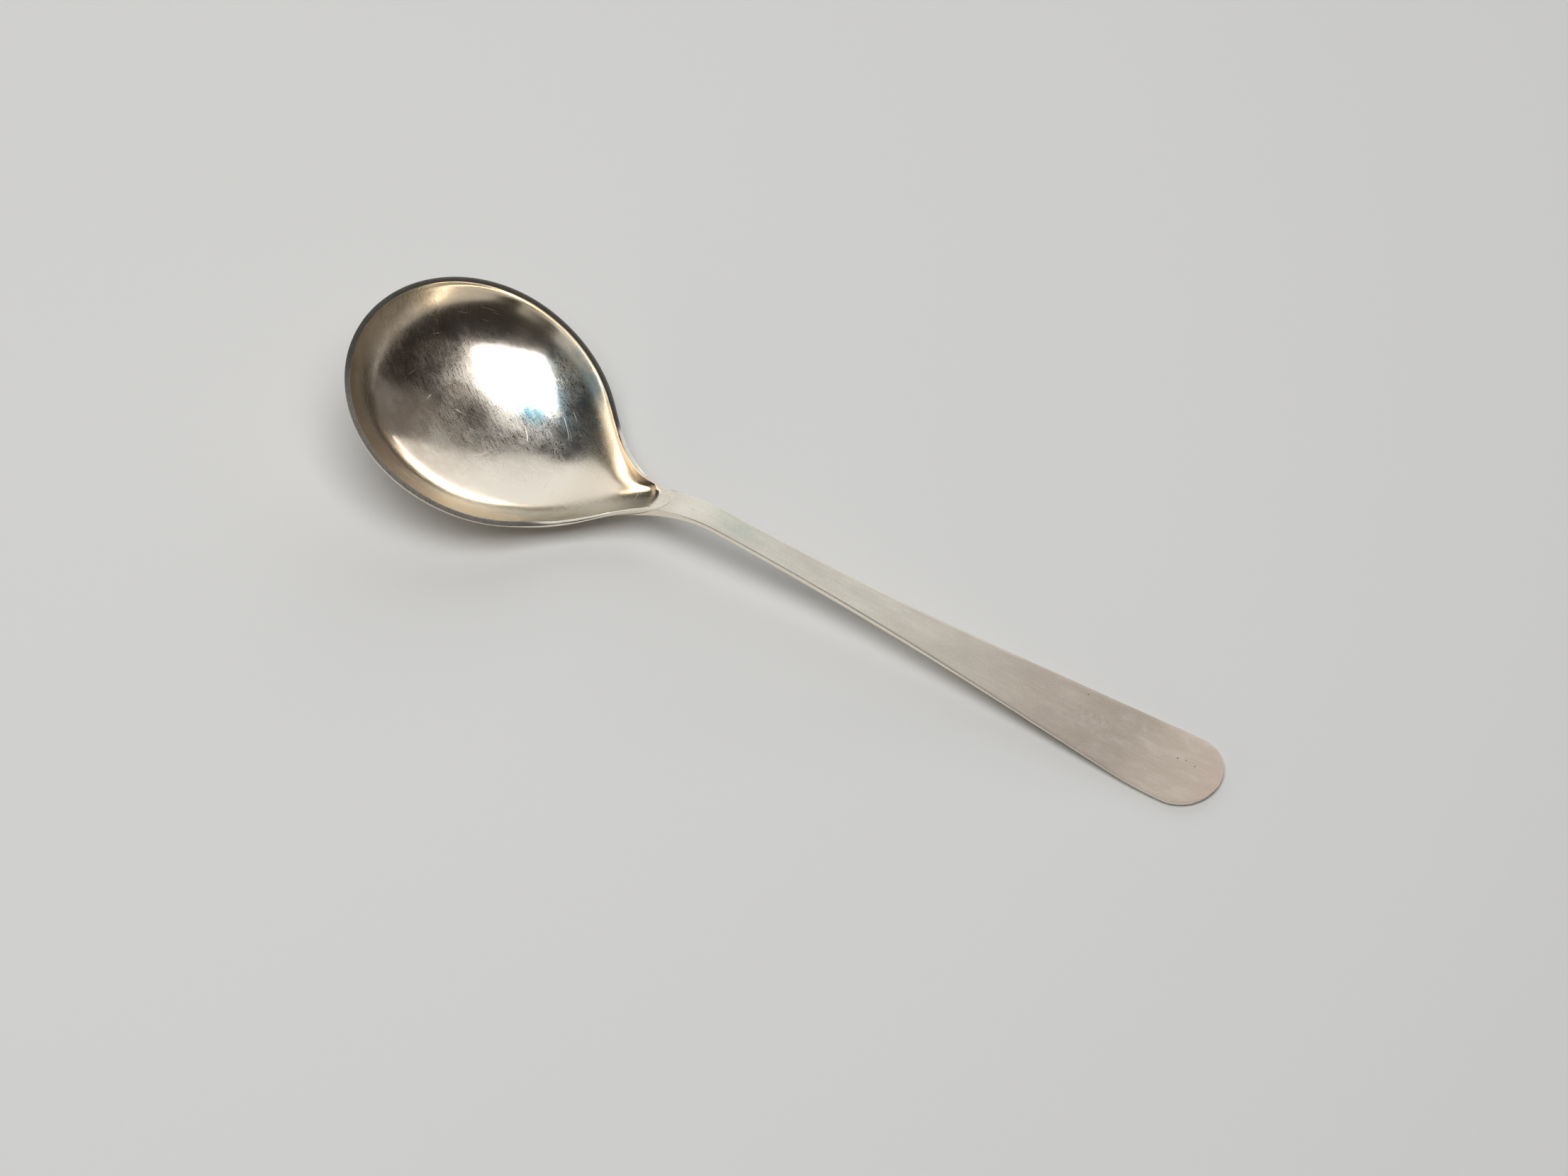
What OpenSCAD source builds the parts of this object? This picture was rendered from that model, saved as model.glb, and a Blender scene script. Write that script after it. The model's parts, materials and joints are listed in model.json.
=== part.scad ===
// Soup spoon: a raised bowl, a forged handle, and the film of solder that joins them.
// The shape is drawn with the lip of the bowl level, u running from the front of the lip to the
// end of the handle, and is then laid down on the bowl and the end of the handle, as on a table.

/* [Bowl] */
// Length of the bowl, from the front of its lip to the nose at the neck
bowl_length = 66; // [58:0.5:76]
// Width of the bowl over the lip
bowl_width = 51; // [44:0.2:58]
// Depth of the hollow below the lip
bowl_depth = 11.4; // [9:0.1:13.5]
// Thickness of the bowl's wall, also the width of its flat lip
wall = 1.1; // [0.8:0.05:1.5]
// Length of flat metal between the end of the hollow and the nose
nose_land = 2.4; // [1.6:0.1:3.4]
// Length of the round end of the hollow
hollow_round = 2.4; // [1.6:0.1:3.4]
// How far the middle of the nose stands out
nose_bulge = 1.4; // [0.8:0.1:2]
// Width of the lip where it runs into the neck
neck_lip = 0.5; // [0.3:0.05:1]
// How far the wall swells out under the lip beside the neck
shoulder = 0.45; // [0.2:0.05:0.7]

/* [Neck] */
// Width of the neck at its narrowest
neck_width = 5; // [4.2:0.1:6.4]
// Thickness of the neck
neck_thickness = 2.9; // [2.2:0.1:3.4]
// Slope of the heel as it climbs out of the bowl
heel_angle = 42.6; // [36:0.2:48]

/* [Handle] */
// Length of the handle beyond the bowl, measured level with the lip
handle_length = 109.5; // [90:0.5:130]
// Slope of the straight part of the handle above the lip
handle_angle = 16.2; // [12:0.2:20]
// Width of the handle near its end
end_width = 16.1; // [12:0.1:20]
// Thickness of the handle at its end
end_thickness = 1.2; // [0.9:0.05:1.8]
// Width of the rounding from the side of the handle to its underside
side_round = 2.1; // [1.4:0.1:2.2]
// Length of the round end of the handle
end_round = 6.8; // [5:0.2:10]

/* [Joint] */
// Width of the line of solder on the top of the neck
solder_line = 0.2; // [0.1:0.02:0.3]

/* [Hidden] */

// Where things come along the bowl, as shares of its length
widest_share = 0.389;
deepest_share = 0.36;
rear_curve_share = 0.429;
floor_oval_share = 0.5;
heel_share = 0.801;
heel_blend_share = 0.065;
flank_end_share = 0.939;
flank_blend_share = 0.08;
crest_share = 1.056;
crest_blend_share = 0.098;

// Where things come along the handle, as shares of its length
flare_share = 0.35;
flare_blend_share = 0.245;
flare_end_share = 0.893;
flare_end_blend_share = 0.045;
taper_share = 0.42;
taper_blend_share = 0.11;
taper_end_share = 0.80;
taper_end_blend_share = 0.09;
bend_share = 0.89;
bend_blend_share = 0.05;

// The bowl's side: how square the curve is, and how far up towards upright it runs
side_power = 2.15;
side_reach = 0.965;
// How late the rise of the heel and the point of the outline come in on the way up the side
heel_power = 2;
point_power = 4;
// Rings of the bowl from its deepest point to its lip
ring_shares = [0.12, 0.24, 0.36, 0.47, 0.57, 0.66, 0.74, 0.81, 0.87, 0.92, 0.945, 0.97, 0.985, 1];
// The solder covers this many rings down from the lip
solder_rings = 4;

// Numbers of points round the outline: front, rear curve, flank and nose
front_steps = 14;
rear_steps = 8;
flank_steps = 10;
nose_steps = 4;
// Numbers of sections along the handle
root_steps = 4;
shaft_steps = 36;
end_steps = 9;
// The swelling of the wall under the lip rises and falls over this much of a sine
shoulder_sweep = 150;
// The last section stops this many degrees round the end
end_sweep = 87;
// The rounding of a narrow section takes at most this share of its half width
round_limit_share = 0.9;
// How far the root follows the slope of the neck before it turns down to its seat
root_lead_share = 0.5;
// The search for the tilt at rest: the steepest angle tried and the number of halvings
steepest_rest = 60;
settle_steps = 30;

half_width = bowl_width / 2;
half_neck = neck_width / 2;
half_end = end_width / 2;
widest_u = bowl_length * widest_share;
deepest_u = bowl_length * deepest_share;
rear_curve = bowl_length * rear_curve_share;
floor_oval = bowl_length * floor_oval_share;
heel_u = bowl_length * heel_share;
heel_blend = bowl_length * heel_blend_share;
flank_end_u = bowl_length * flank_end_share;
flank_blend = bowl_length * flank_blend_share;
crest_u = bowl_length * crest_share;
crest_blend = bowl_length * crest_blend_share;
outer_depth = bowl_depth + wall;
hollow_end_u = bowl_length - nose_land;
hollow_turn_u = hollow_end_u - hollow_round;
joint_u = bowl_length - nose_bulge;

tip_u = bowl_length + handle_length;
flare_u = bowl_length + handle_length * flare_share;
flare_blend = handle_length * flare_blend_share;
flare_end_u = bowl_length + handle_length * flare_end_share;
flare_end_blend = handle_length * flare_end_blend_share;
taper_u = bowl_length + handle_length * taper_share;
taper_blend = handle_length * taper_blend_share;
taper_end_u = bowl_length + handle_length * taper_end_share;
taper_end_blend = handle_length * taper_end_blend_share;
bend_u = bowl_length + handle_length * bend_share;
bend_blend = handle_length * bend_blend_share;
bend_done_u = bend_u + bend_blend;

heel_slope = tan(heel_angle);
handle_slope = tan(handle_angle);
flare_slope = (half_end - half_neck) / (flare_end_u - flare_u);
taper_slope = (neck_thickness - end_thickness) / (taper_end_u - taper_u);

// A corner between level and a slope of one, rounded over a length on each side
function ramp(d, blend) =
    d <= -blend ? 0 : d >= blend ? d : (d + blend) * (d + blend) / (4 * blend);

// The flank is the straight line from the corner at the neck that touches the rear curve
corner_p = (flank_end_u - widest_u) / rear_curve;
corner_q = half_neck / half_width;
touch_angle = atan2(corner_q, corner_p) + acos(1 / norm([corner_p, corner_q]));
touch_u = widest_u + rear_curve * cos(touch_angle);
touch_half = half_width * sin(touch_angle);
flank_slope = (touch_half - half_neck) / (flank_end_u - touch_u);

// Half the width of the spoon behind the flank's start, along the neck and the handle
function shaft_half(u) =
    half_neck + flank_slope * ramp(flank_end_u - u, flank_blend)
    + flare_slope * (ramp(u - flare_u, flare_blend) - ramp(u - flare_end_u, flare_end_blend));
function end_half(u) =
    let (d = max(0, u - (tip_u - end_round)) / end_round) shaft_half(u) * sqrt(max(0, 1 - d * d));

// Height of the top of the rim, neck and handle above the level of the lip
function top_rise(u, tip_slope) =
    heel_slope * ramp(u - heel_u, heel_blend)
    - (heel_slope - handle_slope) * ramp(u - crest_u, crest_blend)
    + (tip_slope - handle_slope) * ramp(u - bend_u, bend_blend);

// Thickness of the handle, rounded off underneath at its end
function thickness(u) =
    let (
        full = neck_thickness - taper_slope
            * (ramp(u - taper_u, taper_blend) - ramp(u - taper_end_u, taper_end_blend)),
        d = max(0, u - (tip_u - side_round)) / side_round
    ) full * sqrt(max(0, 1 - d * d));

// Height of the bowl's side, from zero at the deepest point to one at the lip
function side_raw(s) = 1 - pow(1 - pow(side_reach * s, side_power), 1 / side_power);
function side_rise(s) = side_raw(s) / side_raw(1);

// One side of the bowl's outline from the front of the lip to the nose, inset by the width of the lip
function front_side(inset) =
    [for (i = [0 : front_steps]) let (a = 90 * i / front_steps)
        [widest_u - (widest_u - inset) * cos(a), (half_width - inset) * sin(a)]];
function rear_side(inset) =
    [for (i = [1 : rear_steps])
        let (
            a = 90 + (touch_angle - 90) * i / rear_steps,
            n = [cos(a) / rear_curve, sin(a) / half_width],
            m = n / norm(n)
        ) [widest_u + rear_curve * cos(a) - inset * m[0], half_width * sin(a) - inset * m[1]]];
function flank_point(u, inset) =
    let (
        d = flank_blend / 100,
        m = (shaft_half(u + d) - shaft_half(u - d)) / (2 * d),
        k = norm([1, m])
    ) [u + inset * m / k, shaft_half(u) - inset / k];
function flank_side(first, last, last_u) =
    [for (i = [1 : flank_steps]) let (k = i / flank_steps)
        flank_point(touch_u + (last_u - touch_u) * k, first + (last - first) * k)];
// Under the lip the wall swells out here, so that the lip rolls over into the side of the neck
function shoulder_side() =
    [for (i = [1 : flank_steps]) let (k = i / flank_steps)
        flank_point(touch_u + (joint_u - touch_u) * k, -shoulder * sin(shoulder_sweep * k))];

// The nose is a blunt curve that the root of the handle is filed to fit
function nose_side(swell) =
    [for (i = [1 : nose_steps]) let (k = 1 - i / nose_steps)
        [joint_u + nose_bulge * (1 - k * k), (shaft_half(joint_u) + swell) * k]];
// The hollow closes in a round end just short of the nose
function hollow_nose() =
    let (start = flank_point(hollow_turn_u, neck_lip))
    [for (i = [1 : nose_steps]) let (a = 90 * i / nose_steps)
        [start[0] + (hollow_end_u - start[0]) * sin(a), start[1] * cos(a)]];

lip_side = concat(front_side(0), rear_side(0), flank_side(0, 0, joint_u), nose_side(0));
under_side = concat(front_side(0), rear_side(0), shoulder_side(),
    nose_side(shoulder * sin(shoulder_sweep)));
inner_side = concat(front_side(wall), rear_side(wall),
    flank_side(wall, neck_lip, hollow_turn_u), hollow_nose());
// The outside of the bowl follows its lip at the top and the swollen outline below
function outer_side(s) = s == 1 ? lip_side : under_side;

// A point of the bowl, a share of the way from the deepest point to a point of the outline.
// Low down the rings are oval, and they take the pointed outline of the lip as they climb.
function side_point(p, s, depth, lip, inset) =
    let (
        oval = widest_u
            + (floor_oval - inset) * sqrt(max(0, 1 - pow(p[1] / (half_width - inset), 2))),
        far = p[0] <= widest_u ? p[0] : oval + (p[0] - oval) * pow(s, point_power),
        up = side_rise(s)
    ) [deepest_u + s * (far - deepest_u), s * p[1], depth * (up - 1) + lip * pow(up, heel_power)];

// The tilt at which the underside of the bowl and the flat end of the handle both lie on the table
function laid_height(u, t, tilt) = t * cos(tilt) - u * sin(tilt);
function keel_low(tilt) =
    min([for (s = ring_shares) for (e = outer_side(s))
        let (p = side_point(e, s, outer_depth, top_rise(e[0], tan(tilt)), 0))
        laid_height(p[0], p[2], tilt)]);
function end_low(tilt) =
    laid_height(bend_done_u, top_rise(bend_done_u, tan(tilt)), tilt) - end_thickness;
function settle(low, high, steps) =
    let (mid = (low + high) / 2)
    steps == 0 ? mid : keel_low(mid) < end_low(mid) ? settle(mid, high, steps - 1)
    : settle(low, mid, steps - 1);
rest_tilt = settle(0, steepest_rest, settle_steps);
rest_slope = tan(rest_tilt);
function rise(u) = top_rise(u, rest_slope);

laid_length = tip_u * cos(rest_tilt) + rise(tip_u) * sin(rest_tilt);

side_count = len(lip_side);
ring_count = 2 * side_count - 2;
function whole(side) =
    concat(side, [for (i = [side_count - 2 : -1 : 1]) [side[i][0], -side[i][1]]]);

// Points of the hollow and of the outside, once the tilt is known
function inner_point(p, s) = side_point(p, s, bowl_depth, rise(p[0]), wall);
function outer_point(p, s) = side_point(p, s, outer_depth, rise(p[0]), 0);

// Two triangles for each four-sided cell between two rows of points, always cut the same way
function cells(row, next, count) =
    [for (i = [0 : count - 1]) let (j = (i + 1) % count)
        each [[row + i, next + i, next + j], [row + i, next + j, row + j]]];
// The same faces seen from the other side
function flipped(faces) = [for (f = faces) [f[2], f[1], f[0]]];

module laid_down() {
    translate([-laid_length / 2, 0, -end_low(rest_tilt)]) rotate([0, rest_tilt, 0]) children();
}

module bowl() {
    rings = len(ring_shares);
    size = rings * ring_count;
    inside = [for (s = ring_shares) [for (p = whole(inner_side)) inner_point(p, s)]];
    outside = [for (s = ring_shares) [for (p = whole(outer_side(s))) outer_point(p, s)]];
    points = concat([for (r = inside) each r], [for (r = outside) each r],
        [[deepest_u, 0, -bowl_depth], [deepest_u, 0, -outer_depth]]);
    inner_faces = concat(
        [for (i = [0 : ring_count - 1]) [2 * size, i, (i + 1) % ring_count]],
        [for (r = [0 : rings - 2]) each cells(r * ring_count, (r + 1) * ring_count, ring_count)]);
    outer_faces = concat(
        [for (i = [0 : ring_count - 1]) [2 * size + 1, size + i, size + (i + 1) % ring_count]],
        [for (r = [0 : rings - 2])
            each cells(size + r * ring_count, size + (r + 1) * ring_count, ring_count)]);
    lip_faces = cells(size - ring_count, 2 * size - ring_count, ring_count);
    color("silver") laid_down()
        polyhedron(points, concat(inner_faces, lip_faces, flipped(outer_faces)));
}

// The patch of the bowl's nose that the solder covers: rows from the lip down, across from far to near
patch_rows = solder_rings + 1;
patch_columns = 2 * nose_steps + 1;
function nose_row(s) =
    [for (i = [-nose_steps : nose_steps])
        let (p = outer_side(s)[side_count - 1 - abs(i)])
        outer_point([p[0], i <= 0 ? p[1] : -p[1]], s)];
nose_patch = [for (r = [0 : solder_rings]) nose_row(ring_shares[len(ring_shares) - 1 - r])];
solder_step = solder_line * [cos(atan(heel_slope)), 0, sin(atan(heel_slope))];

// The edge of a patch as one closed loop: along the top, down, back along the bottom, and up
function patch_loop(patch) =
    concat(patch[0], [for (r = [1 : patch_rows - 1]) patch[r][patch_columns - 1]],
        [for (c = [patch_columns - 2 : -1 : 1]) patch[patch_rows - 1][c]],
        [for (r = [patch_rows - 1 : -1 : 1]) patch[r][0]]);
loop_count = 2 * patch_columns + 2 * patch_rows - 4;
function patch_index(r, c) =
    r == 0 ? c : c == patch_columns - 1 ? c + r
    : r == patch_rows - 1 ? 2 * patch_columns + patch_rows - 3 - c
    : c == 0 ? loop_count - r : loop_count + (r - 1) * (patch_columns - 2) + c - 1;
function patch_inside(patch) =
    [for (r = [1 : patch_rows - 2]) for (c = [1 : patch_columns - 2]) patch[r][c]];
function patch_faces(from) =
    [for (r = [0 : patch_rows - 2]) for (c = [0 : patch_columns - 2])
        let (
            a = from + patch_index(r, c),
            b = from + patch_index(r, c + 1),
            d = from + patch_index(r + 1, c),
            e = from + patch_index(r + 1, c + 1)
        ) each [[a, b, e], [a, e, d]]];

module solder_seam() {
    bowl_side = nose_patch;
    handle_side = [for (row = nose_patch) [for (p = row) p + solder_step]];
    points = concat(patch_loop(bowl_side), patch_inside(bowl_side),
        patch_loop(handle_side), patch_inside(handle_side));
    half = patch_rows * patch_columns;
    color("gainsboro") laid_down()
        polyhedron(points, concat(patch_faces(0), flipped(patch_faces(half)),
            cells(0, half, loop_count)));
}

// Slope of the top of the handle
function steepness(u) = let (d = bend_blend / 100) (rise(u + d) - rise(u - d)) / (2 * d);

// One section of the handle: flat top, rounded sides, flat underside, in the order of the loop
function section(u) =
    let (
        half = end_half(u),
        deep = thickness(u),
        slope = atan(steepness(u)),
        round = min(side_round, half * round_limit_share),
        across = [for (i = [0 : patch_columns - 1]) 1 - 2 * i / (patch_columns - 1)],
        drop = [for (r = [1 : patch_rows - 1]) 90 * r / (patch_rows - 1)],
        flat = concat(
            [for (k = across) [half * k, 0]],
            [for (a = drop) [round * (1 - cos(a)) - half, deep * sin(a)]],
            [for (c = [patch_columns - 2 : -1 : 1]) [(half - round) * across[c], deep]],
            [for (r = [patch_rows - 2 : -1 : 0])
                [half - round * (1 - cos(drop[r])), deep * sin(drop[r])]])
    ) [for (p = flat) [u + p[1] * sin(slope), p[0], rise(u) - p[1] * cos(slope)]];

root_done_u = crest_u + crest_blend / 2;
shaft_done_u = tip_u - end_round;
shaft_stations = concat(
    [for (i = [1 : shaft_steps]) root_done_u + (shaft_done_u - root_done_u) * i / shaft_steps],
    [for (i = [1 : end_steps]) shaft_done_u + end_round * sin(end_sweep * i / end_steps)]);

// The root runs from the filed seat on the nose into the first true section of the neck
function root_loop(seat, first, k) =
    [for (i = [0 : loop_count - 1])
        let (
            run = first[i][0] - seat[i][0],
            lead = first[i] - root_lead_share * run * [1, 0, steepness(root_done_u)],
            p = (1 - k) * (1 - k) * seat[i] + 2 * k * (1 - k) * lead + k * k * first[i]
        ) i < patch_columns ? [p[0], p[1], rise(p[0])] : p];

module handle() {
    patch = [for (row = nose_patch) [for (p = row) p + solder_step]];
    seat = patch_loop(patch);
    first = section(root_done_u);
    loops = concat([seat], [for (i = [1 : root_steps]) root_loop(seat, first, i / root_steps)],
        [for (u = shaft_stations) section(u)]);
    size = patch_rows * patch_columns;
    points = concat(seat, patch_inside(patch), [for (i = [1 : len(loops) - 1]) each loops[i]]);
    function start(i) = i == 0 ? 0 : size + (i - 1) * loop_count;
    last = start(len(loops) - 1);
    color("silver") laid_down()
        polyhedron(points, concat(patch_faces(0),
            [for (i = [0 : len(loops) - 2]) each cells(start(i), start(i + 1), loop_count)],
            [[for (i = [loop_count - 1 : -1 : 0]) last + i]]));
}

bowl();
handle();
solder_seam();
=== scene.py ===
import json
from bisect import bisect_right
from math import acos, atan, atan2, cos, dist, hypot, pi, radians, sin, sqrt, tan

import bmesh
import bpy
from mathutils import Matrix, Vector

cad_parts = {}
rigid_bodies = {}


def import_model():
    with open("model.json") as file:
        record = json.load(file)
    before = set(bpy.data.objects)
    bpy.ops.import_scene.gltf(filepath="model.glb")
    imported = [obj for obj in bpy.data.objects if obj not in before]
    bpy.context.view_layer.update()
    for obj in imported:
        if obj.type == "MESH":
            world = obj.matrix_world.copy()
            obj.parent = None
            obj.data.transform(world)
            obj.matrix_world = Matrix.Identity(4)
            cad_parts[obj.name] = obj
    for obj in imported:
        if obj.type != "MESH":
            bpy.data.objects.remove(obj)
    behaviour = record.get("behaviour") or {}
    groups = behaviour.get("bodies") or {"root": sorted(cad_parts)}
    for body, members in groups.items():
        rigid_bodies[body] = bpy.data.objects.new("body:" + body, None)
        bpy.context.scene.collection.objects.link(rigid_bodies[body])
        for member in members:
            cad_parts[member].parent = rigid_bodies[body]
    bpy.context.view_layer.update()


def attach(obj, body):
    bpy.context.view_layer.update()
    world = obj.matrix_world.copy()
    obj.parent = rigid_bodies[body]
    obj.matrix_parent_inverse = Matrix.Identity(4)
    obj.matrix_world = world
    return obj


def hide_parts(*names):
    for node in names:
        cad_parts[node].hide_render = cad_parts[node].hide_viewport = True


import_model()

# The bowl. Raised from a disc of silver sheet over stakes, then planished and polished, so it is an even
# shell with a flat filed lip. Towards the neck its outline draws in, the lip narrows and rolls over, and the
# heel climbs to a blunt nose that the handle is soldered to. It is drawn with its lip level, in millimetres.
bowl_length, bowl_width, bowl_depth, wall = 66, 51, 11.4, 1.1
nose_land, hollow_round, nose_bulge, neck_lip, shoulder = 2.4, 2.4, 1.4, 0.5, 0.45
neck_width, neck_thickness, heel_slope = 5, 2.9, tan(radians(42.6))
handle_length, handle_slope, end_width = 109.5, tan(radians(16.2)), 16.1
rest_tilt, laid_length, lip_height = radians(23.123643), 180.19527, 26.10780
mm = 0.001
laid_place = (-laid_length / 2 * mm, 0, lip_height * mm)

# Where things come along the bowl and along the handle, as shares of their lengths.
widest_share, deepest_share, rear_curve_share, floor_oval_share = 0.389, 0.36, 0.429, 0.5
flank_end_share, flank_blend_share = 0.939, 0.08
heel_share, heel_blend_share = 0.801, 0.065
crest_share, crest_blend_share = 1.056, 0.098
flare_share, flare_blend_share = 0.35, 0.245
flare_end_share, flare_end_blend_share = 0.893, 0.045
bend_share, bend_blend_share = 0.89, 0.05

# How square the bowl's side is, how far towards upright it runs, and how late the heel and the point come in.
side_power, side_reach, heel_power, point_power = 2.15, 0.965, 2, 4
shoulder_sweep = radians(150)
front_steps, rear_steps, flank_steps, nose_steps = 16, 8, 10, 4
ring_shares = (0.993, 0.985, 0.97, 0.945, 0.91, 0.87, 0.81, 0.74, 0.66, 0.57, 0.47, 0.36)

rest_slope = tan(rest_tilt)
half_width, half_neck, half_end = bowl_width / 2, neck_width / 2, end_width / 2
widest_u, deepest_u = bowl_length * widest_share, bowl_length * deepest_share
rear_curve, floor_oval = bowl_length * rear_curve_share, bowl_length * floor_oval_share
flank_end_u, flank_blend = bowl_length * flank_end_share, bowl_length * flank_blend_share
joint_u = bowl_length - nose_bulge
hollow_end_u = bowl_length - nose_land
hollow_turn_u = hollow_end_u - hollow_round

# The flank is a straight line from the neck that touches the rear curve of the outline.
corner_p, corner_q = (flank_end_u - widest_u) / rear_curve, half_neck / half_width
touch_angle = atan2(corner_q, corner_p) + acos(1 / hypot(corner_p, corner_q))
touch_u = widest_u + rear_curve * cos(touch_angle)
flank_slope = (half_width * sin(touch_angle) - half_neck) / (flank_end_u - touch_u)
flare_slope = (half_end - half_neck) / (handle_length * (flare_end_share - flare_share))


def ramp(d, blend):
    """Nothing before zero and a plain slope of one after it, with a round turn between."""
    return 0 if d <= -blend else d if d >= blend else (d + blend) ** 2 / (4 * blend)


def along_handle(u, share, blend_share):
    return ramp(u - bowl_length - handle_length * share, handle_length * blend_share)


def shaft_half(u):
    """Half the width of the flank, the neck and the handle."""
    return (half_neck + flank_slope * ramp(flank_end_u - u, flank_blend)
            + flare_slope * (along_handle(u, flare_share, flare_blend_share)
                             - along_handle(u, flare_end_share, flare_end_blend_share)))


def rise(u):
    """Height of the lip, the neck and the handle's top above the level part of the lip."""
    return (heel_slope * ramp(u - bowl_length * heel_share, bowl_length * heel_blend_share)
            - (heel_slope - handle_slope) * ramp(u - bowl_length * crest_share, bowl_length * crest_blend_share)
            + (rest_slope - handle_slope) * along_handle(u, bend_share, bend_blend_share))


def slope_of(height, u):
    step = 0.05
    return (height(u + step) - height(u - step)) / (2 * step)


def flank_point(u, inset):
    slope = slope_of(shaft_half, u)
    k = hypot(1, slope)
    return u + inset * slope / k, shaft_half(u) - inset / k


def outline(inset, neck_inset, swell):
    """One side of the bowl's outline, from the front of the lip to the start of the nose."""
    side = []
    for i in range(front_steps + 1):
        a = pi / 2 * i / front_steps
        side.append((widest_u - (widest_u - inset) * cos(a), (half_width - inset) * sin(a)))
    for i in range(1, rear_steps + 1):
        a = pi / 2 + (touch_angle - pi / 2) * i / rear_steps
        out_u, out_v = cos(a) / rear_curve, sin(a) / half_width
        k = inset / hypot(out_u, out_v)
        side.append((widest_u + rear_curve * cos(a) - k * out_u, half_width * sin(a) - k * out_v))
    last_u = hollow_turn_u if inset else joint_u
    for i in range(1, flank_steps + 1):
        k = i / flank_steps
        side.append(flank_point(touch_u + (last_u - touch_u) * k,
                                inset + (neck_inset - inset) * k - swell * sin(shoulder_sweep * k)))
    return side


def nose(swell):
    """The blunt nose, from the end of one flank to its middle."""
    half = shaft_half(joint_u) + swell
    steps = [i / nose_steps for i in range(1, nose_steps + 1)]
    return [(joint_u + nose_bulge * (1 - (1 - k) ** 2), half * (1 - k)) for k in steps]


def both_sides(side):
    return side + [(u, -v) for u, v in side[-2:0:-1]]


turn_u, turn_v = flank_point(hollow_turn_u, neck_lip)
hollow_turns = [pi / 2 * i / nose_steps for i in range(1, nose_steps + 1)]
hollow_end = [(turn_u + (hollow_end_u - turn_u) * sin(a), turn_v * cos(a)) for a in hollow_turns]
lip_ring = both_sides(outline(0, 0, 0) + nose(0))
under_ring = both_sides(outline(0, 0, shoulder) + nose(shoulder / 2))
hollow_ring = both_sides(outline(wall, neck_lip, 0) + hollow_end)


def curve_height(s):
    return 1 - (1 - (side_reach * s) ** side_power) ** (1 / side_power)


def climb(s):
    """Height of the bowl's side, from zero at the deepest point to one at the lip."""
    return curve_height(s) / curve_height(1)


def egg(c, inset):
    """How far along the egg shape of the floor reaches, from minus one at the front to one at the heel."""
    heel_reach, front_reach = floor_oval - inset, widest_u - inset
    return widest_u + (heel_reach + front_reach) / 2 * c + (heel_reach - front_reach) / 2 * c * c


def egg_turn(v, inset):
    return sqrt(max(0, 1 - (v / (half_width - inset)) ** 2))


def wall_ring(ring, s, depth, inset):
    """A ring of the bowl a share of the way up its side: an egg low down, pointed at the lip."""
    up, places = climb(s), []
    for u, v in ring:
        c = egg_turn(v, inset)
        low = egg(c if u > widest_u else -c, inset)
        far = low + (u - low) * s ** point_power
        places.append((deepest_u + s * (far - deepest_u), s * v, depth * (up - 1) + rise(u) * up ** heel_power))
    return places


def spread(places, share):
    """Slides the points of a ring along it, a share of the way to even spacing."""
    count, runs = len(places), [0]
    for i in range(count):
        runs.append(runs[-1] + dist(places[i], places[(i + 1) % count]))
    even = []
    for i in range(count):
        run = runs[i] + (runs[count] * i / count - runs[i]) * share
        j = min(bisect_right(runs, run) - 1, count - 1)
        k = (run - runs[j]) / (runs[j + 1] - runs[j])
        even.append([a + (b - a) * k for a, b in zip(places[j], places[(j + 1) % count])])
    return even


def pick(piece):
    """Makes a piece the only one selected, and the one that is worked on."""
    bpy.ops.object.select_all(action="DESELECT")
    piece.select_set(True)
    bpy.context.view_layer.objects.active = piece


def start_ring(name, places):
    """Starts a piece with a ring of points, and returns it with the order of the points."""
    bpy.ops.object.select_all(action="DESELECT")
    bpy.ops.mesh.primitive_circle_add(vertices=len(places), radius=half_neck * mm)
    piece = bpy.context.object
    piece.name = piece.data.name = name
    bpy.ops.object.mode_set(mode="EDIT")
    bpy.ops.mesh.select_mode(type="EDGE")
    mesh = bmesh.from_edit_mesh(piece.data)
    order = set_ring(mesh, {tuple(p.co): p.index for p in mesh.verts}, places)
    bmesh.update_edit_mesh(piece.data)
    return piece, order


def set_ring(mesh, order, places):
    """Puts the selected ring of points on the given places, and remembers their order."""
    found = {}
    for point in mesh.verts:
        if point.select:
            i = order[tuple(point.co)]
            point.co = [c * mm for c in places[i]]
            found[tuple(point.co)] = i
    return found


def draw_out(order, places):
    """Extrudes the selected ring and puts the new ring on the given places."""
    bpy.ops.mesh.extrude_edges_move()
    mesh = bmesh.from_edit_mesh(bpy.context.object.data)
    order = set_ring(mesh, order, places)
    bmesh.update_edit_mesh(bpy.context.object.data)
    return order


def select_ring(order):
    """Leaves only the given ring selected."""
    bpy.ops.mesh.select_all(action="DESELECT")
    mesh = bmesh.from_edit_mesh(bpy.context.object.data)
    for edge in mesh.edges:
        edge.select_set(all(tuple(p.co) in order for p in edge.verts))
    bmesh.update_edit_mesh(bpy.context.object.data)


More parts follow.
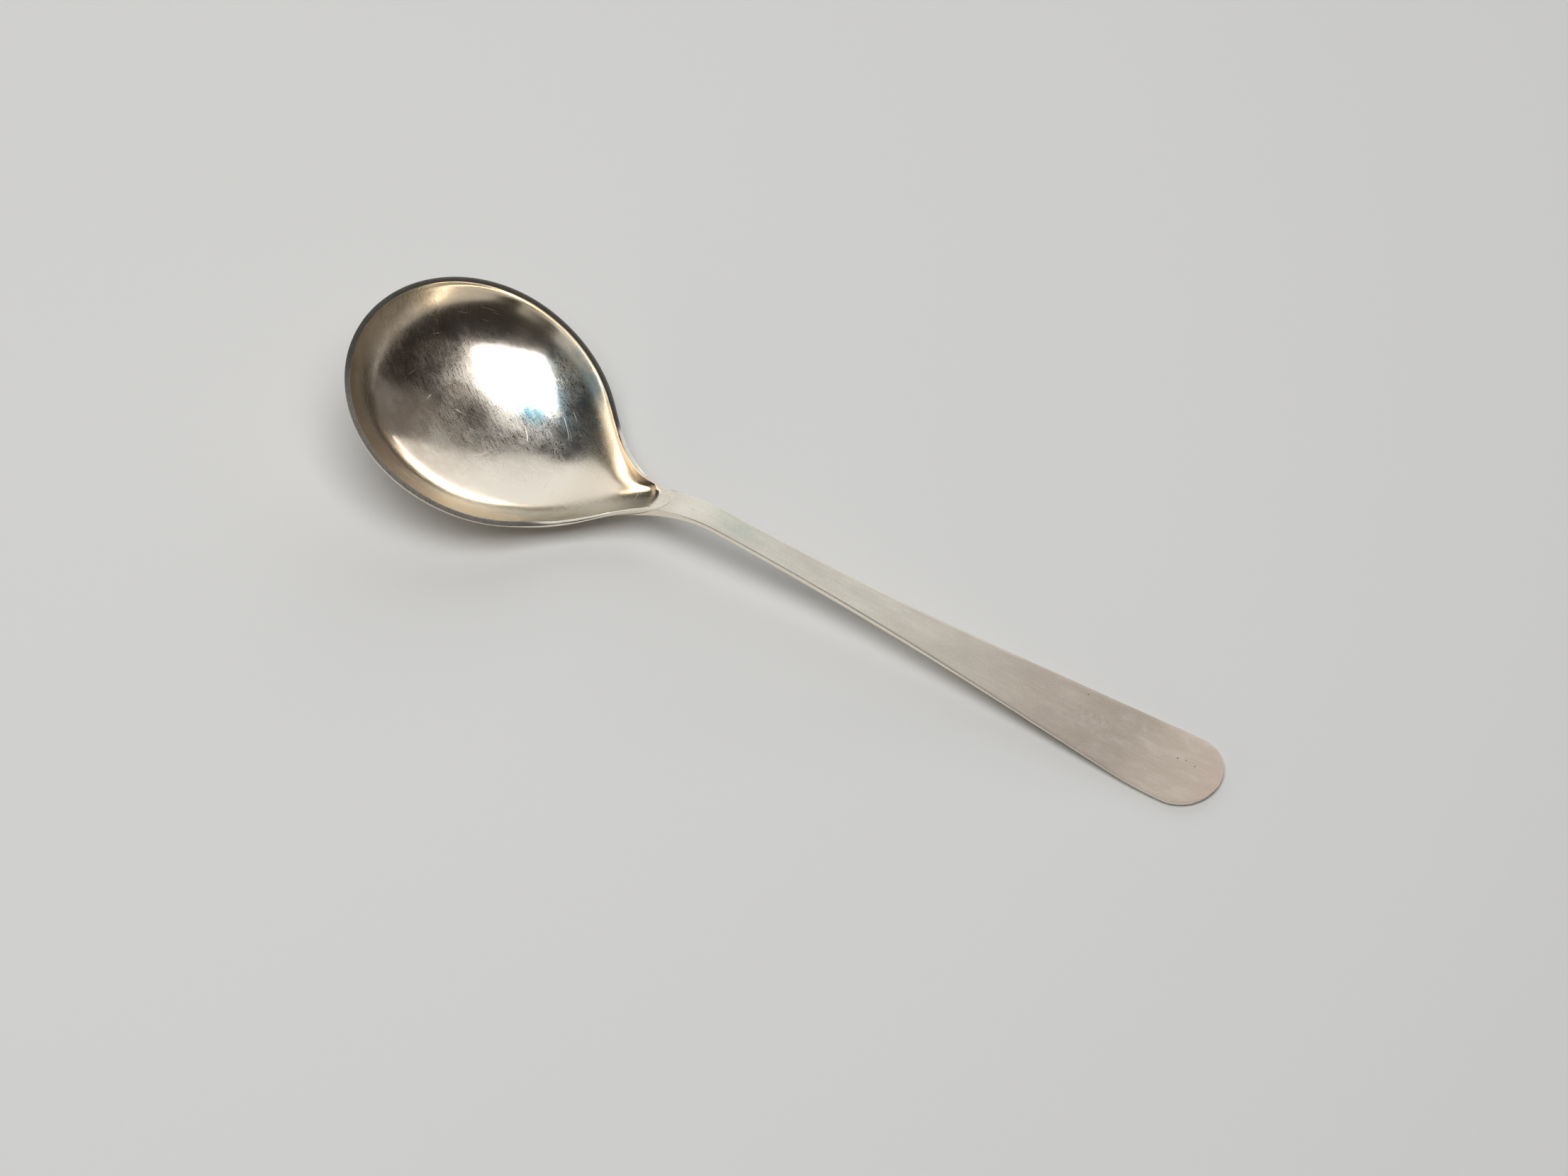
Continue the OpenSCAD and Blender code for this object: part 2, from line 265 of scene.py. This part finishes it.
def close_floor(depth, inset):
    """Fills the last ring with a grid of cells that follow the floor of the bowl."""
    mesh = bmesh.from_edit_mesh(bpy.context.object.data)
    rim = {p for p in mesh.verts if p.select}
    bpy.ops.mesh.fill_grid(span=len(rim) // 4)
    mesh = bmesh.from_edit_mesh(bpy.context.object.data)
    halvings = 40
    for p in mesh.verts:
        if not p.select or p in rim:
            continue
        low, high = 0.0, 1.0
        for _ in range(halvings):
            s = (low + high) / 2
            u, v = deepest_u + (p.co.x / mm - deepest_u) / s, p.co.y / mm / s
            c = egg_turn(v, inset)
            if egg(-c, inset) < u < egg(c, inset):
                high = s
            else:
                low = s
        p.co.z = depth * (climb(s) - 1) * mm
    bmesh.update_edit_mesh(bpy.context.object.data)


def even_out(strokes, rows):
    """Evens out the floor that was closed last, and the given rows of cells round it."""
    for _ in range(rows):
        bpy.ops.mesh.select_more()
    bpy.ops.mesh.vertices_smooth(factor=0.5, repeat=strokes)


def face_outwards():
    bpy.ops.mesh.select_all(action="SELECT")
    bpy.ops.mesh.normals_make_consistent(inside=False)


def at_joint(edge):
    """Whether an edge lies where the nose of the bowl meets the handle."""
    reach_along, reach_across = 1.2, 3.2
    return all(abs(p.co.x / mm - joint_u - nose_bulge / 2) < reach_along
               and abs(p.co.y / mm) < reach_across for p in edge.verts)


def crease(piece, angle, edge_crease, joint_crease):
    """Keeps the crisp edges of a piece through the planishing: full at the joint, softer elsewhere."""
    pick(piece)
    bpy.ops.object.mode_set(mode="EDIT")
    bpy.ops.mesh.select_mode(type="EDGE")
    bpy.ops.mesh.select_all(action="DESELECT")
    bpy.ops.mesh.edges_select_sharp(sharpness=radians(angle))
    mesh = bmesh.from_edit_mesh(piece.data)
    layer = mesh.edges.layers.float.get("crease_edge") or mesh.edges.layers.float.new("crease_edge")
    for edge in mesh.edges:
        if edge.select:
            edge[layer] = joint_crease if at_joint(edge) else edge_crease
    bmesh.update_edit_mesh(piece.data)
    bpy.ops.object.mode_set(mode="OBJECT")


def lay_down(piece):
    """Lays a piece that was drawn with the lip level on the table, as the spoon rests."""
    piece.rotation_euler = (0, rest_tilt, 0)
    piece.location = laid_place
    pick(piece)
    bpy.ops.object.transform_apply(location=True, rotation=True, scale=True)


def planish(piece, angle, strokes=0):
    """Rounds the cells of a piece into one smooth skin, and evens its free skin out with strokes of the hammer."""
    pick(piece)
    smooth = piece.modifiers.new("planish", "SUBSURF")
    smooth.levels = smooth.render_levels = 2
    bpy.ops.object.modifier_apply(modifier=smooth.name)
    if strokes:
        even = piece.modifiers.new("even_out", "SMOOTH")
        even.iterations, even.factor, even.vertex_group = strokes, 0.5, "free_skin"
        bpy.ops.object.modifier_apply(modifier=even.name)
    bpy.ops.object.shade_smooth_by_angle(angle=radians(angle))


bowl, lip_order = start_ring("spoon_bowl", [(u, v, rise(u)) for u, v in lip_ring])
hollow_order = order = draw_out(lip_order, [(u, v, rise(u)) for u, v in hollow_ring])
even_from_lip_share = 0.19
for s in ring_shares:
    even = min(1, (1 - s) / even_from_lip_share)
    order = draw_out(order, spread(wall_ring(hollow_ring, s, bowl_depth, wall), even))
close_floor(bowl_depth, wall)
even_out(strokes=5, rows=9)

select_ring(lip_order)
order = lip_order
seat_end_share, even_from_seat_share = 0.92, 0.18
for s in ring_shares:
    even = min(1, max(0, (seat_end_share - s) / even_from_seat_share))
    order = draw_out(order, spread(wall_ring(under_ring, s, bowl_depth + wall, 0), even))
close_floor(bowl_depth + wall, 0)
even_out(strokes=5, rows=6)
face_outwards()

polished, filed, satin = 0, 1, 2
mesh = bmesh.from_edit_mesh(bowl.data)
for face in mesh.faces:
    on_lip = all(tuple(p.co) in lip_order or tuple(p.co) in hollow_order for p in face.verts)
    face.material_index = filed if on_lip else polished
bmesh.update_edit_mesh(bowl.data)
bpy.ops.object.mode_set(mode="OBJECT")
crease(bowl, angle=35, edge_crease=0.5, joint_crease=1)
lay_down(bowl)

# The lip and the underside of the nose keep their shape; the rest of the skin is evened out.
heel_x, land_x = -40 * mm, -34 * mm
held = set()
for face in bowl.data.polygons:
    if face.material_index == filed or face.normal.z < 0 and face.center.x > heel_x:
        held.update(face.vertices)
free_skin = bowl.vertex_groups.new(name="free_skin")
free_skin.add([p.index for p in bowl.data.vertices if p.index not in held], 1, "REPLACE")
planish(bowl, angle=40, strokes=12)
for face in bowl.data.polygons:
    if face.material_index == filed and face.center.x > land_x:
        face.material_index = satin


class Finish:
    """A metal finish: its colour, roughness and relief are worked out from the place on the spoon."""

    def __init__(self, name):
        self.material = bpy.data.materials.new(name)
        self.material.use_nodes = True
        self.metal = self.material.node_tree.nodes["Principled BSDF"]
        self.metal.inputs["Metallic"].default_value = 1
        self.place = self.node("TexCoord", {}).outputs["Object"]

    def join(self, value, socket):
        """Links a node's result to a socket, or sets a plain value on it."""
        if isinstance(value, bpy.types.NodeSocket):
            self.material.node_tree.links.new(value, socket)
        else:
            socket.default_value = value

    def node(self, kind, inputs, **settings):
        node = self.material.node_tree.nodes.new("ShaderNode" + kind)
        for name, value in settings.items():
            setattr(node, name, value)
        for name, value in inputs.items():
            self.join(value, node.inputs[name])
        return node

    def math(self, how, *values):
        return self.node("Math", dict(enumerate(values)), operation=how).outputs["Value"]

    def both(self, a, b):
        return self.math("MULTIPLY", a, b)

    def times_plus(self, a, b, c):
        return self.math("MULTIPLY_ADD", a, b, c)

    def either(self, *shares):
        most = shares[0]
        for share in shares[1:]:
            most = self.math("MAXIMUM", most, share)
        return most

    def fade(self, value, start, end):
        """From nothing at the start to full at the end, with soft shoulders."""
        return self.node("MapRange", {"Value": value, "From Min": start, "From Max": end},
                         interpolation_type="SMOOTHSTEP").outputs["Result"]

    def tint(self, share, plain, film):
        """Colours the metal from plain to a tarnish film, by the share of the film."""
        return self.node("Mix", {0: share, 6: plain, 7: film}, data_type="RGBA").outputs[2]

    def lip_level(self):
        """The place on the spoon as it is drawn with its lip level, so that a pattern follows the bowl."""
        lay = {"Vector": self.place, "Location": laid_place, "Rotation": (0, rest_tilt, 0)}
        return self.node("Mapping", lay, vector_type="TEXTURE").outputs["Vector"]

    def stretch(self, place, scale, shift=(0, 0, 0), turn=0):
        lay = {"Vector": place, "Location": shift, "Rotation": (0, 0, radians(turn)), "Scale": scale}
        return self.node("Mapping", lay).outputs["Vector"]

    def noise(self, place, **settings):
        settings = {name.capitalize(): value for name, value in settings.items()}
        return self.node("TexNoise", {"Vector": place, "Scale": 1, **settings}).outputs["Fac"]

    def clouds(self, place, size, low, high, detail=4, shift=(0, 0, 0)):
        """Soft patches of a given size in millimetres, from nothing below the low mark to full above the high one."""
        laid = self.stretch(place, (1 / (size * mm),) * 3, shift)
        return self.fade(self.noise(laid, detail=detail, roughness=0.62), low, high)

    def scratches(self, place, turn, length, spacing, low, shift=(0, 0, 0)):
        """Hairline scratches that run one way: patches drawn out along that way and cut down to thin lines."""
        turned = self.stretch(place, (1, 1, 1), shift, turn)
        drawn = self.stretch(turned, (1 / (length * mm), 1 / (spacing * mm), 0))
        line_edge = 0.07
        lines = {"Value": self.noise(drawn, detail=1.5), "From Min": low, "From Max": low + line_edge}
        return self.node("MapRange", lines).outputs["Result"]

    def patch(self, place, u, v, long, wide):
        """A soft-edged patch round one place on the spoon, in millimetres along it and across it."""
        spot = self.stretch(place, (1 / (long * mm), 1 / (wide * mm), 0), (-u / long, -v / wide, 0))
        return self.fade(self.node("VectorMath", {0: spot}, operation="LENGTH").outputs["Value"], start=1, end=0.2)

    def relief(self, height, strength, depth, cut_in=True, over=None):
        """Cuts a pattern into the surface, or raises it, on top of another relief if there is one."""
        bump = self.node("Bump", {"Height": height, "Strength": strength, "Distance": depth}, invert=cut_in)
        if over:
            self.join(over, bump.inputs["Normal"])
        return bump.outputs["Normal"]

    def lay_on(self, colour, roughness, relief):
        self.join(colour, self.metal.inputs["Base Color"])
        self.join(roughness, self.metal.inputs["Roughness"])
        self.join(relief, self.metal.inputs["Normal"])
        return self.material


hair_depth = 0.01 * mm


def polished_silver():
    """Polished sheet: hazed by fine scratches on the floor of the bowl, softer up its wall, and tarnished."""
    finish = Finish("polished_silver")
    bright, front_dark_tint, wall_gold_tint = (0.93, 0.87, 0.77, 1), (0.62, 0.52, 0.42, 1), (0.84, 0.70, 0.49, 1)
    brown, blue, deep_blue = (0.50, 0.38, 0.30, 1), (0.26, 0.43, 0.52, 1), (0.10, 0.32, 0.40, 1)
    place = finish.lip_level()
    apart = finish.node("SeparateXYZ", {"Vector": place}).outputs
    near_side = finish.fade(apart["Y"], start=-6 * mm, end=-16 * mm)
    near_lift = 1.5 * mm
    wall_height = finish.times_plus(near_side, near_lift, apart["Z"])
    up_the_wall = finish.fade(wall_height, start=-7.5 * mm, end=-3 * mm)
    on_the_floor = finish.fade(apart["Z"], start=-4 * mm, end=-7.5 * mm)
    off_the_heel = finish.fade(apart["X"], start=56 * mm, end=42 * mm)
    # to_the_front carries a darker, browner tint towards the front of the bowl.
    to_the_front = finish.fade(apart["X"], start=36 * mm, end=6 * mm)

    blotches = finish.clouds(place, size=5, low=0.34, high=0.66, detail=6, shift=(2.3, 1.1, 0))
    worn = finish.either(finish.patch(place, u=25, v=3, long=40, wide=23),
                         finish.both(finish.patch(place, u=35, v=18, long=14, wide=9), 0.6))
    marks = finish.either(finish.scratches(place, turn=22, length=4, spacing=0.09, low=0.50),
                          finish.scratches(place, turn=38, length=3, spacing=0.08, low=0.53, shift=(3, 1, 0)),
                          finish.scratches(place, turn=-12, length=5, spacing=0.09, low=0.56, shift=(7, 2, 0)),
                          finish.clouds(place, size=0.16, low=0.44, high=0.58, detail=3))
    haze = finish.both(marks, finish.both(worn, finish.times_plus(blotches, 0.35, 0.65)))
    hairs = finish.either(finish.scratches(place, turn=64, length=12, spacing=0.09, low=0.71, shift=(1, 6, 0)),
                          finish.scratches(place, turn=12, length=14, spacing=0.09, low=0.70, shift=(4, 3, 0)))
    hairs = finish.both(hairs, on_the_floor)
    polishing_scale = (130, 130, 9000)
    round_lines = finish.noise(finish.stretch(place, polishing_scale), detail=1)
    round_lines = finish.fade(round_lines, start=0.70, end=0.77)

    brown_stain = finish.both(finish.clouds(place, size=6, low=0.38, high=0.62, detail=6, shift=(1.7, 0, 0)),
                              finish.patch(place, u=16, v=0, long=26, wide=22))
    blue_clouds = finish.clouds(place, size=4, low=0.40, high=0.60, detail=6, shift=(0, 4.1, 0))
    blue_stain = finish.both(finish.times_plus(blue_clouds, 0.6, 0.4),
                             finish.patch(place, u=40, v=17, long=18, wide=13))
    blue_spot = finish.both(finish.clouds(place, size=1.5, low=0.25, high=0.6, detail=5),
                            finish.patch(place, u=34.6, v=10.3, long=5, wide=2.6))
    # A warm gold tint up the wall of the bowl, stronger away from the heel and reaching lower on the near side.
    on_the_wall = finish.both(up_the_wall, finish.times_plus(off_the_heel, 0.25, 0.25))
    colour = bright
    for share, film in ((finish.both(to_the_front, 0.75), front_dark_tint), (on_the_wall, wall_gold_tint),
                        (finish.both(brown_stain, 0.7), brown), (finish.both(blue_stain, 0.7), blue),
                        (finish.both(blue_spot, 0.85), deep_blue)):
        colour = finish.tint(share, colour, film)

    kept_bright = finish.either(finish.patch(place, u=8, v=20, long=34, wide=26),
                                finish.patch(place, u=36, v=22, long=24, wide=16))
    dull_pocket = finish.patch(place, u=60, v=-4, long=12, wide=7)
    soft_wall = finish.times_plus(off_the_heel, finish.times_plus(kept_bright, -0.18, 0.20), 0.06)
    roughness = finish.times_plus(up_the_wall, soft_wall, 0.05)
    for share, more in ((haze, 0.36), (hairs, 0.10), (round_lines, 0.30), (dull_pocket, 0.24)):
        roughness = finish.times_plus(share, more, roughness)
    cuts = finish.relief(finish.either(haze, hairs, round_lines), 0.15, hair_depth)
    return finish.lay_on(colour, roughness, cuts)


def filed_lip():
    """The flat of the lip, with short strokes of a fine file, dull spots, and a side that use has rubbed duller."""
    finish = Finish("filed_lip")
    clean, dull = (0.80, 0.76, 0.69, 1), (0.55, 0.52, 0.47, 1)
    place = finish.place
    across = finish.node("SeparateXYZ", {"Vector": place}).outputs["Y"]
    near_side = finish.fade(across, start=-8 * mm, end=-20 * mm)
    strokes = finish.either(finish.scratches(place, turn=70, length=1.5, spacing=0.12, low=0.55),
                            finish.scratches(place, turn=-40, length=1.5, spacing=0.11, low=0.57, shift=(5, 2, 0)))
    spots = finish.clouds(place, size=2.5, low=0.3, high=0.7, detail=5)
    colour = finish.tint(finish.both(spots, 0.3), clean, dull)
    roughness = finish.times_plus(spots, 0.03, 0.165)
    for share, more in ((near_side, 0.09), (strokes, 0.02)):
        roughness = finish.times_plus(share, more, roughness)
    return finish.lay_on(colour, roughness, finish.relief(strokes, 0.05, hair_depth))


def satin_silver():
    """Satin top of the nose and the handle: pale near the neck, darker and warmer towards the end, where the
    darkening is painted shade and the warmer tone the metal's own; stained and pitted.
    """
    finish = Finish("satin_silver")
    pale, aged_and_shaded, dull_nose = (0.90, 0.88, 0.79, 1), (0.66, 0.565, 0.49, 1), (0.62, 0.57, 0.49, 1)
    dark_cloud, dark_line, pale_veil = (0.56, 0.49, 0.42, 1), (0.50, 0.45, 0.39, 1), (0.84, 0.76, 0.67, 1)
    green, pink, bare = (0.60, 0.76, 0.66, 1), (0.74, 0.56, 0.48, 1), (0.86, 0.80, 0.72, 1)
    dark_grain, pit_black = (0.45, 0.40, 0.34, 1), (0.05, 0.04, 0.03, 1)
    place = finish.lip_level()
    along = finish.node("SeparateXYZ", {"Vector": place}).outputs["X"]
    drawn_out = finish.stretch(place, (0.45, 1, 0))
    mottle = finish.clouds(drawn_out, size=5, low=0.3, high=0.7, detail=6)
    veil = finish.clouds(drawn_out, size=3.2, low=0.42, high=0.75, detail=5, shift=(3, 9, 0))
    grain = finish.clouds(place, size=0.32, low=0.25, high=0.75, detail=3)
    brushed = finish.clouds(finish.stretch(place, (0.04, 1, 0)), size=0.5, low=0.3, high=0.7, detail=3,
                            shift=(6, 2, 0))
    near_nose = finish.fade(along, start=69.5 * mm, end=64 * mm)
    aged_and_shaded_part = finish.fade(along, start=100 * mm, end=155 * mm)
    veiled_part = finish.fade(along, start=110 * mm, end=140 * mm)
    margin = finish.fade(along, start=170.5 * mm, end=175.5 * mm)
    stained = finish.either(finish.patch(place, u=75.4, v=1.5, long=2.2, wide=1.2),
                            finish.patch(place, u=80, v=0.4, long=8, wide=2.6))
    stain = finish.both(stained, finish.clouds(place, size=2, low=0.3, high=0.6, detail=5))
    handled = finish.either(finish.patch(place, u=156.2, v=4.2, long=2.6, wide=1.7),
                            finish.patch(place, u=159.5, v=4.4, long=1.6, wide=1.3),
                            finish.patch(place, u=152, v=0.4, long=10, wide=3.6))
    rubbed = finish.both(handled, finish.clouds(place, size=1.2, low=0.4, high=0.66, detail=6))
    nick = finish.patch(place, u=70.4, v=-0.2, long=0.55, wide=0.08)
    pits = finish.either(finish.patch(place, u=167, v=1.84, long=0.28, wide=0.2),
                         finish.patch(place, u=168.4, v=2.2, long=0.2, wide=0.13),
                         finish.patch(place, u=170.25, v=1.7, long=0.22, wide=0.14),
                         finish.patch(place, u=147.7, v=5.1, long=0.2, wide=0.2),
                         finish.both(nick, 0.5))

    # From pale near the neck to darker and warmer towards the end: the darkening is painted shade, the warm tone is
    # the handle's own.
    colour = finish.tint(aged_and_shaded_part, pale, aged_and_shaded)
    for share, film in ((finish.both(near_nose, 0.6), dull_nose), (finish.both(mottle, 0.26), dark_cloud),
                        (finish.both(brushed, 0.07), dark_line),
                        (finish.both(veil, finish.both(veiled_part, 0.5)), pale_veil),
                        (finish.both(stain, 0.5), green), (finish.both(margin, 0.45), pink),
                        (finish.both(rubbed, 0.4), bare), (finish.both(grain, 0.16), dark_grain),
                        (finish.both(pits, 0.9), pit_black)):
        colour = finish.tint(share, colour, film)

    lines = finish.either(finish.scratches(place, turn=0, length=7, spacing=0.11, low=0.63),
                          finish.scratches(place, turn=9, length=4, spacing=0.11, low=0.66, shift=(2, 5, 0)),
                          finish.scratches(place, turn=-50, length=3, spacing=0.1, low=0.72, shift=(4, 8, 0)))
    roughness = finish.times_plus(brushed, 0.03, 0.23)
    for share, more in ((mottle, 0.05), (lines, 0.05)):
        roughness = finish.times_plus(share, more, roughness)
    raised = finish.relief(grain, 0.06, 2 * hair_depth, cut_in=False)
    return finish.lay_on(colour, roughness, finish.relief(finish.either(lines, pits), 0.1, hair_depth, over=raised))


polished_metal, filed_metal, satin_metal = polished_silver(), filed_lip(), satin_silver()
for metal in (polished_metal, filed_metal, satin_metal):
    bowl.data.materials.append(metal)

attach(bowl, "root")
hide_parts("bowl")

# The handle. Forged from a strip: a narrow neck whose root is filed to a saddle that laps under the nose of the
# bowl, then a shaft with a flat planished top and rounded sides, spread and thinned to a round end. It is
# hard-soldered to the bowl, and its last few millimetres are bent to lie on the table.
end_thickness, side_round, end_round, solder_line = 1.2, 2.1, 6.8, 0.2
taper_share, taper_blend_share = 0.42, 0.11
taper_end_share, taper_end_blend_share = 0.80, 0.09
round_limit_share = 0.9
tip_u = bowl_length + handle_length
taper_slope = (neck_thickness - end_thickness) / (handle_length * (taper_end_share - taper_share))
root_done_u = bowl_length * (crest_share + crest_blend_share / 2)
side_steps, root_steps, shaft_steps, end_steps, end_sweep = 4, 4, 44, 9, radians(87)
seat_shares = (1, 0.985, 0.97, 0.945, 0.92)


def drawn_in(u, length):
    """How much is left of a size on its round way in to the tip."""
    return sqrt(1 - (max(0, u - tip_u + length) / length) ** 2)


def section(u):
    """The outline of the handle at one place: flat top, rounded sides, flat underside."""
    deep = neck_thickness - taper_slope * (along_handle(u, taper_share, taper_blend_share)
                                           - along_handle(u, taper_end_share, taper_end_blend_share))
    deep *= drawn_in(u, side_round)
    half = shaft_half(u) * drawn_in(u, end_round)
    corner = min(side_round, half * round_limit_share)
    turns = [pi / 2 * i / side_steps for i in range(1, side_steps + 1)]
    top = [(half * (1 - i / side_steps), 0) for i in range(2 * side_steps + 1)]
    near = [(corner * (1 - cos(a)) - half, deep * sin(a)) for a in turns]
    bottom = [((half - corner) * (i / side_steps - 1), deep) for i in range(1, 2 * side_steps)]
    far = [(-v, t) for v, t in near[::-1]]
    tilt = atan(slope_of(rise, u))
    return [(u + t * sin(tilt), v, rise(u) - t * cos(tilt)) for v, t in top + near + bottom + far]


def nose_rows(gap):
    """Rows of points across the nose of the bowl, which the root of the handle is filed to, a gap away from it."""
    heel, middle = atan(heel_slope), len(lip_ring) // 2
    rows = []
    for s in seat_shares:
        row = (lip_ring if s == 1 else under_ring)[middle - nose_steps:middle + nose_steps + 1]
        rows.append([(u + gap * cos(heel), v, t + gap * sin(heel))
                     for u, v, t in wall_ring(row, s, bowl_depth + wall, 0)])
    return rows


def round_rows(rows):
    """The points round the edge of the rows."""
    return rows[0] + [row[-1] for row in rows[1:]] + rows[-1][-2:0:-1] + [row[0] for row in rows[:0:-1]]


seat_rows = nose_rows(solder_line)
seat, seat_middle = round_rows(seat_rows), seat_rows[2][nose_steps]
first = section(root_done_u)


def root_loop(k):
    """A loop of the root, on its way from the filed seat to the first true section of the neck."""
    loop = []
    for i in range(len(first)):
        run = first[i][0] - seat[i][0]
        lead = (first[i][0] - run / 2, first[i][1], first[i][2] - run / 2 * slope_of(rise, root_done_u))
        u, v, t = ((1 - k) ** 2 * a + 2 * k * (1 - k) * b + k * k * c for a, b, c in zip(seat[i], lead, first[i]))
        on_top = i <= 2 * side_steps
        loop.append((u, v, rise(u) if on_top else t))
    return loop


def cap_ring(order, middle):
    """Closes the selected ring with a fan of faces round a middle point, and leaves only the ring selected."""
    bpy.ops.mesh.edge_face_add()
    bpy.ops.mesh.poke()
    mesh = bmesh.from_edit_mesh(bpy.context.object.data)
    for p in mesh.verts:
        if p.select and tuple(p.co) not in order:
            p.co = [c * mm for c in middle]
    bmesh.update_edit_mesh(bpy.context.object.data)
    select_ring(order)


handle, order = start_ring("spoon_handle", seat)
cap_ring(order, seat_middle)
for i in range(1, root_steps + 1):
    order = draw_out(order, root_loop(i / root_steps))
for i in range(1, shaft_steps + 1):
    order = draw_out(order, section(root_done_u + (tip_u - end_round - root_done_u) * i / shaft_steps))
for i in range(1, end_steps + 1):
    order = draw_out(order, section(tip_u - end_round + end_round * sin(end_sweep * i / end_steps)))
bpy.ops.mesh.edge_face_add()
face_outwards()
bpy.ops.object.mode_set(mode="OBJECT")
crease(handle, angle=25, edge_crease=0.5, joint_crease=1)
lay_down(handle)
planish(handle, angle=40)

flat_top = 0.75
handle.data.materials.append(satin_metal)
handle.data.materials.append(polished_metal)
for face in handle.data.polygons:
    face.material_index = 0 if face.normal.z > flat_top else 1

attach(handle, "root")
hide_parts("handle")

# The solder. A film of hard silver solder, a fifth of a millimetre thick, that ran into the joint between the nose
# of the bowl and the filed seat of the handle. It was filed and polished flush, so only its edge is left to see.
film_rows = nose_rows(0)
seam, order = start_ring("solder_line", round_rows(film_rows))
cap_ring(order, film_rows[2][nose_steps])
order = draw_out(order, seat)
cap_ring(order, seat_middle)
face_outwards()
bpy.ops.object.mode_set(mode="OBJECT")
crease(seam, angle=20, edge_crease=1, joint_crease=1)
lay_down(seam)
planish(seam, angle=30)


def silver_solder():
    """Solder that was polished with the joint: a little yellower than the silver, and uneven."""
    finish = Finish("silver_solder")
    clean, dull = (0.80, 0.75, 0.64, 1), (0.70, 0.64, 0.53, 1)
    spots = finish.clouds(finish.place, size=0.6, low=0.3, high=0.7)
    pores = finish.clouds(finish.place, size=0.4, low=0.3, high=0.7)
    finish.join(finish.tint(spots, clean, dull), finish.metal.inputs["Base Color"])
    finish.join(finish.times_plus(pores, 0.12, 0.24), finish.metal.inputs["Roughness"])
    return finish.material


seam.data.materials.append(silver_solder())

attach(seam, "root")
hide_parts("solder_seam")

# The camera. It stands where the photograph was taken from, above the handle's near side, with a long lens, so
# that the spoon lies across the picture from the bowl at the upper left to the end at the lower right.
camera_place = (0.349342, -0.572042, 0.798070)
camera_turn = (40.07229, 0.36103, 31.00247)
camera_data = bpy.data.cameras.new("photo_camera")
camera_data.lens, camera_data.sensor_width = 130.199, 36
camera = bpy.data.objects.new("photo_camera", camera_data)
camera.location = camera_place
camera.rotation_euler = [radians(a) for a in camera_turn]
bpy.context.scene.collection.objects.link(camera)
bpy.context.scene.camera = camera
bpy.context.scene.view_settings.view_transform = "Standard"

# The floor. A wide sheet of plain pale card that the spoon lies on. It is matt, so it gives an even background,
# takes the shadow of the spoon and shows as a pale edge in the metal.
floor_size, card_colour, card_roughness = 6, (0.70, 0.70, 0.69, 1), 0.85
bpy.ops.object.select_all(action="DESELECT")
bpy.ops.mesh.primitive_plane_add(size=floor_size)
floor = bpy.context.object
floor.name = "pale_floor"
card = bpy.data.materials.new("pale_card")
card.use_nodes = True
card_face = card.node_tree.nodes["Principled BSDF"]
card_face.inputs["Base Color"].default_value = card_colour
card_face.inputs["Roughness"].default_value = card_roughness
floor.data.materials.append(card)

# The lamps. A soft box over the near side, which the hollow shows as a white four-sided patch; a tall pale screen
# behind the spoon, with a small one above it, a dim one beside it and a bright narrow strip below it; and two low
# cards on the camera's side, which the far wall of the hollow shows. They hang round the bowl in a nearly dark room.
bowl_x, bowl_y = -0.065, 0.014
white, screen_white = (1, 1, 1), (1, 0.99, 0.97)
low_card_white, left_card_white = (1, 0.97, 0.93), (1, 0.98, 0.95)
room_colour = (0.03, 0.028, 0.026, 1)


def hang_lamp(name, middle, turn, width, height, level, colour):
    """Hangs a flat soft lamp; its level is how bright its face is."""
    bpy.ops.object.light_add(type="AREA", location=middle)
    lamp = bpy.context.object
    lamp.name = name
    lamp.data.shape, lamp.data.size, lamp.data.size_y = "RECTANGLE", width, height
    lamp.data.energy, lamp.data.color = pi * width * height * level, colour
    lamp.rotation_euler = turn


def level_turn(towards_x, towards_y):
    """The turn of a lamp that stands upright and shines along the floor."""
    return Vector((towards_x, towards_y, 0)).to_track_quat("-Z", "Y").to_euler()


def upright_lamp(name, x, y, z, width, height, level, colour):
    hang_lamp(name, (x, y, z), level_turn(bowl_x - x, bowl_y - y), width, height, level, colour)


soft_box_turn = [radians(a) for a in (-59.1998, -7.2382, -134.8775)]
hang_lamp("soft_box", (0.104, -0.276, 1.171), soft_box_turn, width=0.827, height=0.887, level=6.4, colour=white)
upright_lamp("far_screen", -0.64, 0.833, 1.0, width=2.3, height=1.47, level=0.82, colour=screen_white)
hang_lamp("upper_screen", (-0.271, 1.091, 1.97), level_turn(0.575, -0.819), width=0.8, height=0.46, level=0.70,
          colour=screen_white)
upright_lamp("low_strip", -0.63, 0.78, 0.325, width=2.3, height=0.08, level=1.5, colour=screen_white)
upright_lamp("low_card", -0.374, -0.937, 0.16, width=1.45, height=0.22, level=0.45, colour=low_card_white)
upright_lamp("left_card", -0.653, -0.795, 0.29, width=1.06, height=0.48, level=0.6, colour=left_card_white)
upright_lamp("side_screen", 0.468, 0.976, 0.62, width=0.61, height=1.2, level=0.19, colour=screen_white)
world = bpy.data.worlds.new("studio")
world.use_nodes = True
world.node_tree.nodes["Background"].inputs["Color"].default_value = room_colour
bpy.context.scene.world = world
